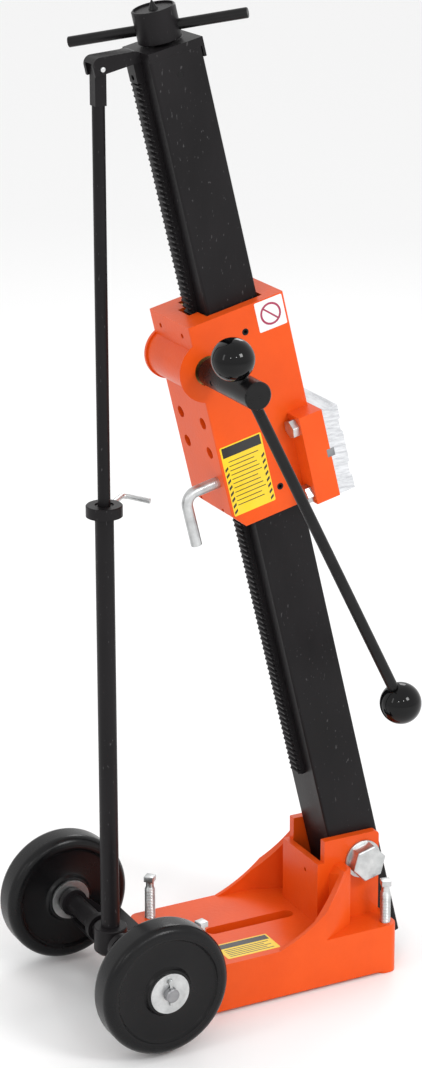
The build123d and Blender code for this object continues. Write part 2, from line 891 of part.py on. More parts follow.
with BuildPart() as brace_pin:
    with BuildSketch(mast_side()):
        with Locations((-pin_offset, pin_height)):
            Circle(pin_size / 2)
    extrude(amount=fork_gap / 2 - cheek_gap / 2, both=True)
finish(brace_pin.part, "brace_pin")

# ---- carriage ----------------------------------------------------------------
half_carriage = carriage_width / 2
passage = half_mast + passage_gap
carriage_top = carriage_bottom + carriage_height
pinion_depth = rack_addendum + rack_root_gap
pinion_teeth = math.ceil(2 * (feed_shaft_size / 2 + pinion_wall + pinion_depth) / module)
housing_v = pitch_line - module * pinion_teeth / 2
flange_top = flange_bottom + flange_height
flange_middle = (flange_bottom + flange_top) / 2
bolt_rows = (motor_bolt_low, motor_bolt_high)
channel_back = tip - rack_channel_gap

with BuildPart() as carriage_casting:
    with BuildSketch(mast_section(carriage_bottom)):
        with Locations(((carriage_front - carriage_back) / 2, 0)):
            RectangleRounded(carriage_front + carriage_back, carriage_width, 2)
    extrude(amount=carriage_height)
    with BuildSketch(mast_side(half_carriage + 1)):
        with BuildLine():
            Polyline(
                (-carriage_back - 1, carriage_bottom - 1),
                (-carriage_back - 1, carriage_bottom + 17),
                (-carriage_back, carriage_bottom + 17),
                (-carriage_back + 14, carriage_bottom),
                (-carriage_back + 14, carriage_bottom - 1),
                close=True,
            )
        make_face()
    extrude(amount=carriage_width + 2, mode=Mode.SUBTRACT)
    # motor flange
    with BuildSketch(mast_side(flange_half_width)):
        with Locations(((flange_back + flange_front) / 2, flange_middle)):
            Rectangle(flange_front - flange_back, flange_height)
    extrude(amount=2 * flange_half_width)
    # pinion housing
    with BuildSketch(mast_side(half_carriage)):
        with Locations((housing_v, feed_height)):
            Circle(housing_radius)
    extrude(amount=carriage_width)
    with BuildSketch(mast_side(half_carriage)):
        with Locations((housing_v, feed_height)):
            Circle(housing_rim)
    extrude(amount=4)
    with BuildSketch(mast_side(-half_carriage)):
        with Locations((housing_v, feed_height)):
            Circle(housing_flare)
    extrude(amount=-flare_depth, taper=28)
    # passage for the mast, channel for the rack
    with BuildSketch(mast_section(carriage_bottom - 1)):
        Rectangle(2 * passage, 2 * passage)
        with Locations(((channel_back - half_mast) / 2, 0)):
            Rectangle(-half_mast - channel_back, rack_channel)
    extrude(amount=carriage_height + 2, mode=Mode.SUBTRACT)
    with BuildSketch(mast_side(half_carriage + 1)):
        with Locations((housing_v, feed_height)):
            Circle(housing_bore / 2)
    extrude(amount=carriage_width + 2, mode=Mode.SUBTRACT)
    # holes for the motor bolts, and the key's seat
    with BuildSketch(Plane(origin=mast_point(flange_back - 1, 0, 0), x_dir=(0, 1, 0), z_dir=across)):
        for u in bolt_rows:
            with Locations((-motor_bolt_offset, u), (motor_bolt_offset, u)):
                Circle(motor_bolt / 2)
    extrude(amount=flange_front - flange_back + 2, mode=Mode.SUBTRACT)
    with BuildSketch(mast_side(flange_half_width)):
        with Locations((flange_front, flange_middle)):
            Rectangle(key_size, key_size)
    extrude(amount=2 * flange_half_width, mode=Mode.SUBTRACT)
    # adjusting screws, pockets and the lock's bore
    for y in (-half_carriage, half_carriage):
        with BuildSketch(mast_side(y)):
            with Locations((0, pad_low), (0, pad_high)):
                Circle(set_screw / 2)
        extrude(amount=math.copysign(half_carriage - passage, y), mode=Mode.SUBTRACT)
    with BuildSketch(mast_back(-carriage_back)):
        for u in (back_pad_low, back_pad_high):
            with Locations((-back_pad_offset, u), (back_pad_offset, u)):
                Circle(back_screw / 2)
        with Locations((lock_offset, lock_height)):
            Circle(lock_size / 2 + running)
    extrude(amount=passage - carriage_back, mode=Mode.SUBTRACT)
    with BuildSketch(mast_back(-carriage_back)):
        for u in (pocket_low, pocket_high):
            with Locations((-pocket_offset, u), (pocket_offset, u)):
                Circle(pocket_hole / 2)
    extrude(amount=-pocket_hole_depth, mode=Mode.SUBTRACT)
finish(carriage_casting.part, "carriage_casting")

pad_thickness = passage_gap - pad_gap
with BuildPart() as side_pads:
    for y in (-half_mast - pad_gap, passage):
        with BuildSketch(mast_side(y)):
            with Locations((0, pad_low), (0, pad_high)):
                Rectangle(side_pad_width, pad_length)
        extrude(amount=pad_thickness)
finish(side_pads.part, "side_pads")

with BuildPart() as front_pads:
    with BuildSketch(mast_back(half_mast + pad_gap)):
        with Locations((0, pad_low), (0, pad_high)):
            Rectangle(side_pad_width, pad_length)
    extrude(amount=-pad_thickness)
finish(front_pads.part, "front_pads")

with BuildPart() as back_pads:
    with BuildSketch(mast_back(-half_mast - pad_gap)):
        for u in (back_pad_low, back_pad_high):
            with Locations((-back_pad_offset, u), (back_pad_offset, u)):
                Rectangle(back_pad_width, pad_length)
    extrude(amount=pad_thickness)
finish(back_pads.part, "back_pads")

with BuildPart() as side_screws:
    for y in (-half_carriage, half_carriage):
        with BuildSketch(mast_side(y)):
            with Locations((0, pad_low), (0, pad_high)):
                Circle(set_screw / 2)
        extrude(amount=math.copysign(half_carriage - passage, y))
        with BuildSketch(mast_side(y)):
            with Locations((0, pad_low), (0, pad_high)):
                RegularPolygon(set_screw / 4, 6, major_radius=False)
        extrude(amount=math.copysign(set_screw / 2, y), mode=Mode.SUBTRACT)
finish(side_screws.part, "side_screws")

with BuildPart() as back_screws:
    with BuildSketch(mast_back(-carriage_back + back_screw_inset)):
        for u in (back_pad_low, back_pad_high):
            with Locations((-back_pad_offset, u), (back_pad_offset, u)):
                Circle(back_screw / 2)
    extrude(amount=passage - carriage_back + back_screw_inset)
finish(back_screws.part, "back_screws")

# ---- motor spacer, key and bolts ---------------------------------------------
motor_face = flange_front + spacer_thickness

with BuildPart() as motor_spacer:
    with BuildSketch(mast_side(flange_half_width)):
        with Locations(((flange_front + motor_face) / 2, flange_middle)):
            Rectangle(spacer_thickness, flange_height - 3)
        with Locations((flange_front, flange_middle)):
            Rectangle(key_size, key_size, mode=Mode.SUBTRACT)
        for side in (-1, 1):
            with Locations((motor_face, flange_middle + side * flange_height / 4)):
                Rectangle(2 * spacer_groove, flange_height / 7, mode=Mode.SUBTRACT)
    extrude(amount=2 * flange_half_width)
    with BuildSketch(Plane(origin=mast_point(flange_front, 0, 0), x_dir=(0, 1, 0), z_dir=across)):
        for u in bolt_rows:
            with Locations((-motor_bolt_offset, u), (motor_bolt_offset, u)):
                Circle(motor_bolt / 2)
    extrude(amount=motor_bolt_depth, mode=Mode.SUBTRACT)
    with BuildSketch(Plane(origin=mast_point(motor_face, 0, flange_middle), x_dir=(0, 1, 0), z_dir=across)):
        with PolarLocations(motor_circle / 2, 4):
            Circle(motor_hole / 2)
    extrude(amount=-motor_bolt_depth, mode=Mode.SUBTRACT)
finish(motor_spacer.part, "motor_spacer")

with BuildPart() as motor_key:
    with BuildSketch(mast_side(flange_half_width)):
        with Locations((flange_front, flange_middle)):
            Rectangle(key_size, key_size)
    extrude(amount=2 * flange_half_width)
finish(motor_key.part, "motor_key")

with BuildPart() as motor_bolts:
    with BuildSketch(mast_back(flange_back)):
        for u in bolt_rows:
            with Locations((-motor_bolt_offset, u), (motor_bolt_offset, u)):
                RegularPolygon(motor_bolt_head / 2, 6, major_radius=False, rotation=u)
    extrude(amount=motor_bolt_head_height)
    with BuildSketch(mast_back(flange_back)):
        for u in bolt_rows:
            with Locations((-motor_bolt_offset, u), (motor_bolt_offset, u)):
                Circle(motor_bolt / 2)
    extrude(amount=flange_back - flange_front - motor_bolt_depth)
finish(motor_bolts.part, "motor_bolts")

# ---- lock bolt, a bent rod, and its shoe -------------------------------------
lock_root = mast_point(-passage - 0.5, -lock_offset, lock_height)
lock_corner = mast_point(-carriage_back - lock_reach, -lock_offset, lock_height)

with BuildPart() as lock_bolt:
    with BuildLine():
        FilletPolyline(lock_root, lock_corner, lock_corner - up * lock_leg, radius=lock_bend)
    with BuildSketch(Plane(origin=lock_root, x_dir=(0, 1, 0), z_dir=-across)):
        Circle(lock_size / 2)
    sweep()
finish(lock_bolt.part, "lock_bolt")

with BuildPart() as lock_pad:
    with BuildSketch(mast_back(-half_mast - pad_gap)):
        with Locations((half_mast - lock_shoe / 2, lock_height)):
            Rectangle(lock_shoe, lock_shoe)
    extrude(amount=pad_thickness)
finish(lock_pad.part, "lock_pad")

# ---- pinion, its bushes and shaft --------------------------------------------
pinion_radius = module * pinion_teeth / 2
pinion_tip = pinion_radius + module
pinion_root = pinion_radius - pinion_depth
base_radius = pinion_radius * math.cos(math.radians(pressure_angle))
tooth_angle = 2 * math.pi / pinion_teeth
involute = flank - math.radians(pressure_angle)
gap_offset = (rack_bottom - feed_height) / pitch
mesh_turn = (gap_offset - round(gap_offset)) * tooth_angle


def flank_point(radius, side, turn):
    """Point of a tooth's flank at a radius, for a tooth that points along turn."""
    roll = math.acos(min(1, base_radius / radius))
    spread = math.pi / 2 / pinion_teeth + involute - (math.tan(roll) - roll)
    angle = turn + side * (spread - pinion_backlash / 4 / pinion_radius)
    return (housing_v + radius * math.cos(angle), feed_height + radius * math.sin(angle))


steps = [base_radius + (pinion_tip - base_radius) * n / 5 for n in range(6)]
with BuildPart() as pinion_gear:
    with BuildSketch(mast_side(pinion_width / 2)):
        with Locations((housing_v, feed_height)):
            Circle(pinion_root)
        for n in range(pinion_teeth):
            turn = mesh_turn + n * tooth_angle
            with BuildLine():
                Polyline(
                    (housing_v, feed_height),
                    *[flank_point(r, -1, turn) for r in steps],
                    *[flank_point(r, 1, turn) for r in reversed(steps)],
                    close=True,
                )
            make_face()
    extrude(amount=pinion_width)
    with BuildSketch(mast_side(pinion_width / 2)):
        with Locations((housing_v, feed_height)):
            Circle(feed_shaft_size / 2)
    extrude(amount=pinion_width, mode=Mode.SUBTRACT)
finish(pinion_gear.part, "pinion_gear")

shaft_near = hub_start + hub_socket
with BuildPart() as feed_shaft:
    with BuildSketch(mast_side(half_carriage - plug_thickness)):
        with Locations((housing_v, feed_height)):
            Circle(feed_shaft_size / 2)
    extrude(amount=half_carriage - plug_thickness + shaft_near)
finish(feed_shaft.part, "feed_shaft")

bush_in = pinion_width / 2 + 2
with BuildPart() as feed_bushes:
    for y in (-bush_in, half_carriage - plug_thickness):
        with BuildSketch(mast_side(y)):
            with Locations((housing_v, feed_height)):
                Circle(housing_bore / 2)
                Circle(feed_shaft_size / 2 + running, mode=Mode.SUBTRACT)
        extrude(amount=half_carriage - plug_thickness - bush_in)
finish(feed_bushes.part, "feed_bushes")

with BuildPart() as housing_plug:
    with BuildSketch(mast_side(half_carriage)):
        with Locations((housing_v, feed_height)):
            Circle(housing_bore / 2)
    extrude(amount=plug_thickness - 0.5)
finish(housing_plug.part, "housing_plug")

# ---- feed handle -------------------------------------------------------------
handle_way = Vector(math.sin(math.radians(bar_angle)), 0, -math.cos(math.radians(bar_angle)))
hub_middle = mast_point(housing_v, -bar_plane, feed_height)
bar_start = hub_middle - handle_way * (bar_short - 2)
bar_seat = Plane(origin=bar_start, x_dir=(0, 1, 0), z_dir=handle_way)
bar_length = bar_short + bar_long - 4

with BuildPart() as handle_hub:
    with BuildSketch(mast_side(-hub_start)):
        with Locations((housing_v, feed_height)):
            Circle(hub_size / 2)
    extrude(amount=hub_end - hub_start)
    chamfer(handle_hub.edges().group_by(Axis.Y)[0], 1.5)
    with BuildSketch(mast_side(-hub_start)):
        with Locations((housing_v, feed_height)):
            Circle(feed_shaft_size / 2)
    extrude(amount=hub_socket, mode=Mode.SUBTRACT)
    with BuildSketch(bar_seat):
        Circle(bar_size / 2 + running)
    extrude(amount=bar_length, mode=Mode.SUBTRACT)
    with BuildSketch(Plane(origin=mast_point(housing_v, -hub_start - hub_socket / 2, feed_height), z_dir=-across)):
        Circle(hub_screw / 2)
    extrude(amount=hub_size, mode=Mode.SUBTRACT)
finish(handle_hub.part, "handle_hub")

with BuildPart() as hub_set_screw:
    with BuildSketch(Plane(origin=mast_point(housing_v, -hub_start - hub_socket / 2, feed_height), z_dir=-across)):
        Circle(hub_screw / 2)
    extrude(amount=hub_size / 2 - 0.8)
    with BuildSketch(mast_side(-hub_start)):
        with Locations((housing_v, feed_height)):
            Circle(feed_shaft_size / 2)
    extrude(amount=hub_socket, mode=Mode.SUBTRACT)
finish(hub_set_screw.part, "hub_set_screw")

with BuildPart() as handle_bar:
    with BuildSketch(bar_seat):
        Circle(bar_size / 2)
    extrude(amount=bar_length)
finish(handle_bar.part, "handle_bar")

for name, reach in (("top", -bar_short), ("bottom", bar_long)):
    centre = hub_middle + handle_way * reach
    with BuildPart() as knob:
        with BuildSketch(Plane(origin=centre, x_dir=(0, 1, 0), z_dir=handle_way.cross(Vector(0, 1, 0)))):
            Circle(knob_size / 2)
            with Locations((-knob_size / 2, 0)):
                Rectangle(knob_size, knob_size, mode=Mode.SUBTRACT)
        revolve(axis=Axis(centre, handle_way))
        with BuildSketch(bar_seat):
            Circle(bar_size / 2)
        extrude(amount=bar_length, mode=Mode.SUBTRACT)
    finish(knob.part, f"knob_{name}")
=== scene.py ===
import bpy
import bmesh
import json
import math
from mathutils import Matrix, Vector

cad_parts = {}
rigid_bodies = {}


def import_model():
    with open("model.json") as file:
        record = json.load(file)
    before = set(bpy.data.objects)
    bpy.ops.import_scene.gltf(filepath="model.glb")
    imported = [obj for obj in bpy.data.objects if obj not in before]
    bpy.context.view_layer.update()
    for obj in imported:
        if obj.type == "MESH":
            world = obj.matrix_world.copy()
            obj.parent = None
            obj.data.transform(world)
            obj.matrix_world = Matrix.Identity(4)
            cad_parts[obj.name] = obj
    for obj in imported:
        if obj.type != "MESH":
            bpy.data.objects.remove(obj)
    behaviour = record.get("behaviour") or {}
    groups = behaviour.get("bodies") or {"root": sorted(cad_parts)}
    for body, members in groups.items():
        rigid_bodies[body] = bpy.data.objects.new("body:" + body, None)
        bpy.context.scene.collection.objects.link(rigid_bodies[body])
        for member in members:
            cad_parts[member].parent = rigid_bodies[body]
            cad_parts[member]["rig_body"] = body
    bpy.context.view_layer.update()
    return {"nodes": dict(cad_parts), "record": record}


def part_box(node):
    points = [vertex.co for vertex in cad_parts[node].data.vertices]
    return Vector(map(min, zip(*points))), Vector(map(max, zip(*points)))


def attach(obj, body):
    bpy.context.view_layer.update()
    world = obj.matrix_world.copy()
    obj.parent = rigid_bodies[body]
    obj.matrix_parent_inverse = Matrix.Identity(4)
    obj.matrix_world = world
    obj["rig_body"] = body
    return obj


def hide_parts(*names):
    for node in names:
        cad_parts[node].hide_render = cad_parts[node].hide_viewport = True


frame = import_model()
NODES = frame["nodes"]
SLOT_OF = {p["node"]: p["material_slot"] for p in frame["record"]["subparts"]}
scene = bpy.context.scene

# ---- the rig's frames, in metres -------------------------------------------
MM = 0.001
TILT = math.radians(13.7)
UP = Vector((-math.sin(TILT), 0, math.cos(TILT)))
ACROSS = Vector((math.cos(TILT), 0, math.sin(TILT)))
PIVOT = Vector((0.127, 0, 0.1322))
X = Vector((1, 0, 0))
Y = Vector((0, 1, 0))
Z = Vector((0, 0, 1))


def mast(v, y, u):
    """A point v across, y sideways and u up the mast, given in millimetres."""
    return PIVOT + ACROSS * v * MM + UP * u * MM + Y * y * MM


# ---- materials --------------------------------------------------------------
def link(tree, a, b):
    tree.links.new(a, b)


def surface(name, color, dark, rough, metal=0.0, spread=0.06, scale=18.0, grain=300.0, bump=0.15,
            depth=0.0004, coat=0.0, stretch=(1, 1, 1), specks=None, spec=0.5):
    """A painted, plated or machined surface: two tones of colour, uneven gloss and a fine relief."""
    m = bpy.data.materials.new(name)
    m.use_nodes = True
    t = m.node_tree
    n = t.nodes
    bsdf = n["Principled BSDF"]
    bsdf.inputs["Metallic"].default_value = metal
    bsdf.inputs["Coat Weight"].default_value = coat
    bsdf.inputs["Coat Roughness"].default_value = 0.12
    bsdf.inputs["Specular IOR Level"].default_value = spec
    coord = n.new("ShaderNodeTexCoord")
    mapping = n.new("ShaderNodeMapping")
    mapping.inputs["Scale"].default_value = stretch
    link(t, coord.outputs["Object"], mapping.inputs["Vector"])
    broad = n.new("ShaderNodeTexNoise")
    broad.inputs["Scale"].default_value = scale
    broad.inputs["Detail"].default_value = 5
    broad.inputs["Roughness"].default_value = 0.6
    link(t, mapping.outputs["Vector"], broad.inputs["Vector"])
    tone = n.new("ShaderNodeValToRGB")
    tone.color_ramp.elements[0].position = 0.32
    tone.color_ramp.elements[0].color = (*dark, 1)
    tone.color_ramp.elements[1].position = 0.66
    tone.color_ramp.elements[1].color = (*color, 1)
    link(t, broad.outputs["Fac"], tone.inputs["Fac"])
    shade = tone.outputs["Color"]
    if specks:
        fleck = n.new("ShaderNodeTexNoise")
        fleck.inputs["Scale"].default_value = 420
        fleck.inputs["Detail"].default_value = 2
        link(t, mapping.outputs["Vector"], fleck.inputs["Vector"])
        pick = n.new("ShaderNodeValToRGB")
        pick.color_ramp.elements[0].position = 0.69
        pick.color_ramp.elements[0].color = (0, 0, 0, 1)
        pick.color_ramp.elements[1].position = 0.74
        pick.color_ramp.elements[1].color = (1, 1, 1, 1)
        link(t, fleck.outputs["Fac"], pick.inputs["Fac"])
        mix = n.new("ShaderNodeMix")
        mix.data_type = "RGBA"
        mix.inputs["B"].default_value = (*specks, 1)
        link(t, pick.outputs["Color"], mix.inputs["Factor"])
        link(t, shade, mix.inputs["A"])
        shade = mix.outputs["Result"]
    link(t, shade, bsdf.inputs["Base Color"])
    gloss = n.new("ShaderNodeMapRange")
    gloss.inputs["From Min"].default_value = 0.3
    gloss.inputs["From Max"].default_value = 0.7
    gloss.inputs["To Min"].default_value = rough - spread
    gloss.inputs["To Max"].default_value = rough + spread
    link(t, broad.outputs["Fac"], gloss.inputs["Value"])
    link(t, gloss.outputs["Result"], bsdf.inputs["Roughness"])
    fine = n.new("ShaderNodeTexNoise")
    fine.inputs["Scale"].default_value = grain
    fine.inputs["Detail"].default_value = 4
    link(t, mapping.outputs["Vector"], fine.inputs["Vector"])
    relief = n.new("ShaderNodeBump")
    relief.inputs["Strength"].default_value = bump
    relief.inputs["Distance"].default_value = depth
    link(t, fine.outputs["Fac"], relief.inputs["Height"])
    link(t, relief.outputs["Normal"], bsdf.inputs["Normal"])
    return m


LOOKS = {
    "orange_paint": dict(color=(0.77, 0.088, 0.007), dark=(0.68, 0.070, 0.005), rough=0.36,
                         scale=9, grain=260, bump=0.40, depth=0.0006, coat=0.06, spec=0.2),
    "black_paint": dict(color=(0.0105, 0.0092, 0.0102), dark=(0.006, 0.0054, 0.006), rough=0.40,
                        scale=14, grain=520, bump=0.30, depth=0.0003, stretch=(1, 1, 0.35),
                        specks=(0.05, 0.048, 0.05), spec=0.16),
    "black_oxide": dict(color=(0.009, 0.0085, 0.009), dark=(0.005, 0.005, 0.005), rough=0.30,
                        scale=40, grain=700, bump=0.2, depth=0.0002, spec=0.2),
    "zinc": dict(color=(0.66, 0.67, 0.67), dark=(0.44, 0.45, 0.45), rough=0.36,
                 metal=1.0, scale=60, grain=500, bump=0.15, depth=0.0002),
    "steel": dict(color=(0.36, 0.36, 0.37), dark=(0.20, 0.20, 0.21), rough=0.33,
                  metal=1.0, scale=45, grain=600, bump=0.2, depth=0.0002),
    "bronze": dict(color=(0.55, 0.34, 0.13), dark=(0.38, 0.23, 0.08), rough=0.36,
                   metal=1.0, scale=50, grain=500, bump=0.15, depth=0.0002),
    "aluminium": dict(color=(0.80, 0.81, 0.83), dark=(0.52, 0.53, 0.55), rough=0.30,
                      metal=1.0, scale=70, grain=300, bump=0.22, depth=0.0002, stretch=(1, 0.3, 6)),
    "wheel_paint": dict(color=(0.006, 0.0056, 0.006), dark=(0.0035, 0.0035, 0.004), rough=0.24,
                        scale=20, grain=380, bump=0.22, depth=0.0003, spec=0.22),
    "tyre_rubber": dict(color=(0.0055, 0.0055, 0.006), dark=(0.0035, 0.0035, 0.004), rough=0.28,
                        scale=30, grain=520, bump=0.3, depth=0.0003, spec=0.22),
    "black_ball": dict(color=(0.002, 0.002, 0.0022), dark=(0.0015, 0.0015, 0.0017), rough=0.05,
                       spread=0.02, scale=30, grain=90, bump=0.02, depth=0.0002, spec=0.24),
    "label_yellow": dict(color=(0.86, 0.60, 0.012), dark=(0.78, 0.53, 0.01), rough=0.35,
                         scale=30, grain=500, bump=0.05, coat=0.2),
    "label_black": dict(color=(0.012, 0.011, 0.011), dark=(0.008, 0.008, 0.008), rough=0.35,
                        scale=30, grain=500, bump=0.05, coat=0.2),
    "label_white": dict(color=(0.80, 0.80, 0.79), dark=(0.72, 0.72, 0.71), rough=0.35,
                        scale=30, grain=500, bump=0.05, coat=0.2),
    "label_red": dict(color=(0.36, 0.02, 0.08), dark=(0.30, 0.018, 0.065), rough=0.35,
                      scale=30, grain=500, bump=0.05, coat=0.2),
}
MATS = {name: surface(name, **look) for name, look in LOOKS.items()}


# ---- pieces -----------------------------------------------------------------
HARD_EDGE = 32


def solid(name, bm):
    """Turns a finished bmesh into an object of the same name."""
    mesh = bpy.data.meshes.new(name)
    bm.to_mesh(mesh)
    bm.free()
    return bpy.data.objects.new(name, mesh)


def settle(obj, body, slot, *nodes):
    """Smooths obj, gives it its finish, and lets it ride on a body in place of CAD nodes."""
    if not obj.data.materials:
        obj.data.materials.append(MATS[slot])
    for p in obj.data.polygons:
        p.use_smooth = True
    if obj.name not in scene.collection.objects:
        scene.collection.objects.link(obj)
    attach(obj, body)
    if nodes:
        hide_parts(*nodes)
    return obj


def sharpen(bm, degrees):
    """Marks the edges that turn by more than an angle as sharp."""
    for e in bm.edges:
        if len(e.link_faces) == 2 and e.calc_face_angle(0) > math.radians(degrees):
            e.smooth = False


def skin(node, width):
    """The CAD piece with its edges rounded."""
    src = NODES[node]
    bm = bmesh.new()
    bm.from_mesh(src.data)
    bmesh.ops.remove_doubles(bm, verts=bm.verts, dist=2e-6)
    bmesh.ops.dissolve_limit(bm, angle_limit=math.radians(0.4), verts=bm.verts, edges=bm.edges)
    limit = math.radians(HARD_EDGE)
    hard = [e for e in bm.edges if len(e.link_faces) == 2 and e.calc_face_angle(0) > limit]
    bmesh.ops.bevel(bm, geom=hard, offset=width, offset_type="OFFSET", segments=2, profile=0.5,
                    affect="EDGES", clamp_overlap=True)
    sharpen(bm, HARD_EDGE)
    obj = solid(node + "_form", bm)
    even = obj.modifiers.new("even", "WEIGHTED_NORMAL")
    even.mode = "FACE_AREA"
    even.weight = 80
    even.keep_sharp = True
    return settle(obj, src["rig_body"], SLOT_OF[node], node)


def turned(name, profile, centre, axis, body, slot, nodes=(), count=64):
    """A lathe-turned piece. profile is (radius, height) in millimetres along axis from centre."""
    bm = bmesh.new()
    z = axis.normalized()
    x = z.orthogonal().normalized()
    y = z.cross(x)
    rings = []
    for r, h in profile:
        if r < 1e-6:
            rings.append([bm.verts.new(centre + z * h * MM)])
        else:
            ring = []
            for k in range(count):
                a = 2 * math.pi * k / count
                out = x * math.cos(a) + y * math.sin(a)
                ring.append(bm.verts.new(centre + out * r * MM + z * h * MM))
            rings.append(ring)
    for a, b in zip(rings, rings[1:]):
        for k in range(count):
            j = (k + 1) % count
            if len(a) == 1 and len(b) == 1:
                continue
            if len(a) == 1:
                bm.faces.new((a[0], b[j], b[k]))
            elif len(b) == 1:
                bm.faces.new((a[k], a[j], b[0]))
            else:
                bm.faces.new((a[k], a[j], b[j], b[k]))
    bmesh.ops.recalc_face_normals(bm, faces=bm.faces)
    sharpen(bm, 30)
    return settle(solid(name, bm), body, slot, *nodes)


def ball_profile(radius, flat):
    """A ball's profile with a small flat at the top and bottom."""
    start = math.asin(flat / radius)
    steps = 28
    out = [(0, -radius * math.cos(start))]
    for k in range(steps + 1):
        a = start + (math.pi - 2 * start) * k / steps
        out.append((radius * math.sin(a), -radius * math.cos(a)))
    out.append((0, radius * math.cos(start)))
    return out


def screw_thread(name, radius, pitch, length, start, axis, body, slot, depth, nodes=()):
    """A threaded shank: a cylinder whose radius follows a helix. Millimetres, from start along axis."""
    bm = bmesh.new()
    z = axis.normalized()
    x = z.orthogonal().normalized()
    y = z.cross(x)
    around = 28
    per_turn = 6
    rows = int(length / pitch * per_turn)
    grid = []
    for i in range(rows + 1):
        h = length * i / rows
        fade = min(1.0, h / pitch, (length - h) / pitch)
        ring = []
        for k in range(around):
            a = 2 * math.pi * k / around
            phase = (h / pitch - k / around) % 1.0
            tri = min(1.0, max(0.0, (abs(2 * phase - 1) - 0.12) / 0.76))
            r = radius - depth * (1 - tri * fade)
            out = x * math.cos(a) + y * math.sin(a)
            ring.append(bm.verts.new(start + out * r * MM + z * h * MM))
        grid.append(ring)
    for a, b in zip(grid, grid[1:]):
        for k in range(around):
            j = (k + 1) % around
            bm.faces.new((a[k], a[j], b[j], b[k]))
    bm.faces.new(grid[0])
    bm.faces.new(grid[-1])
    bmesh.ops.recalc_face_normals(bm, faces=bm.faces)
    sharpen(bm, 60)
    return settle(solid(name, bm), body, slot, *nodes)


def square_head(name, centre, half, low, high, turn, body, slot):
    """A square screw head with softened corners, between two heights. Millimetres."""
    bm = bmesh.new()
    spin = Matrix.Rotation(math.radians(turn), 3, "Z")
    corners = [Vector((a * half, b * half, 0)) for a, b in ((-1, -1), (1, -1), (1, 1), (-1, 1))]
    rings = [[bm.verts.new(centre + (spin @ c) * MM + Z * h * MM) for c in corners] for h in (low, high)]
    for k in range(4):
        j = (k + 1) % 4
        bm.faces.new((rings[0][k], rings[0][j], rings[1][j], rings[1][k]))
    bm.faces.new(rings[0])
    bm.faces.new(rings[1])
    bmesh.ops.recalc_face_normals(bm, faces=bm.faces)
    bmesh.ops.bevel(bm, geom=bm.edges[:], offset=0.0007, segments=3, profile=0.5, affect="EDGES")
    sharpen(bm, 60)
    return settle(solid(name, bm), body, slot)


def label(name, corner, x, y, width, height, body, base, marks):
    """A sticker: a thin rounded plate with flat marks, in millimetres from its lower left corner."""
    bm = bmesh.new()
    n = x.cross(y).normalized()
    mats = [base]

    def at(px, py, lift):
        return corner + x * px * MM + y * py * MM + n * lift * MM

    def slab(points, low, high, mat):
        if mat not in mats:
            mats.append(mat)
        top = [bm.verts.new(at(px, py, high)) for px, py in points]
        foot = [bm.verts.new(at(px, py, low)) for px, py in points]
        faces = [bm.faces.new(top), bm.faces.new(list(reversed(foot)))]
        for k in range(len(points)):
            j = (k + 1) % len(points)
            faces.append(bm.faces.new((top[k], foot[k], foot[j], top[j])))
        for f in faces:
            f.material_index = mats.index(mat)

    r = 1.6
    rounded = []
    for cx, cy, a0 in ((width - r, r, -90), (width - r, height - r, 0), (r, height - r, 90), (r, r, 180)):
        for k in range(5):
            a = math.radians(a0 + 22.5 * k)
            rounded.append((cx + r * math.cos(a), cy + r * math.sin(a)))
    slab(rounded, 0.02, 0.16, base)
    for points, mat in marks:
        slab(points, 0.165, 0.20, mat)
    bmesh.ops.recalc_face_normals(bm, faces=bm.faces)
    obj = solid(name, bm)
    for mat in mats:
        obj.data.materials.append(MATS[mat])
    scene.collection.objects.link(obj)
    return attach(obj, body)


def bar(x0, y0, x1, y1):
    """A rectangle's corners."""
    return [(x0, y0), (x1, y0), (x1, y1), (x0, y1)]


def ring_marks(cx, cy, r0, r1, mat):
    """A flat ring, as short four-cornered marks."""
    count = 28
    out = []
    for k in range(count):
        a, b = 2 * math.pi * k / count, 2 * math.pi * (k + 1) / count
        ends = ((r0, a), (r1, a), (r1, b), (r0, b))
        out.append(([(cx + r * math.cos(t), cy + r * math.sin(t)) for r, t in ends], mat))
    return out


# every CAD piece, with its edges rounded as its making would leave them
EDGE = {"base_casting": 0.0014, "carriage_casting": 0.0012, "mast_cap": 0.0008, "rack": 0.00018,
        "motor_spacer": 0.0005, "handle_hub": 0.0005, "brace_collar": 0.0008, "brace_foot": 0.0006,
        "axle_bracket": 0.0008, "pinion_gear": 0.0002, "brace_fork": 0.0007, "jack_point": 0.0001}
USUAL_EDGE = 0.0004
LEVEL_SCREWS = [f"level_screw_{n}" for n in range(1, 5)]
KNOBS = ("knob_top", "knob_bottom")
SIDES = (("near", -1), ("far", 1))
OWN = {*LEVEL_SCREWS, *KNOBS, "jack_screw"}
OWN |= {f"{piece}_{side}" for piece in ("wheel", "tyre") for side, sign in SIDES}
for node in sorted(NODES):
    if node not in OWN:
        skin(node, EDGE.get(node, USUAL_EDGE))

# knobs: balls with a small flat at each end of the handle bar
HANDLE_ANGLE = math.radians(26.6)
HANDLE_WAY = Vector((math.sin(HANDLE_ANGLE), 0, -math.cos(HANDLE_ANGLE)))
for name in KNOBS:
    lo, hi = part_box(name)
    turned(name + "_ball", ball_profile(23.8, 7.5), (lo + hi) / 2, HANDLE_WAY, "handle", "black_ball",
           (name,))

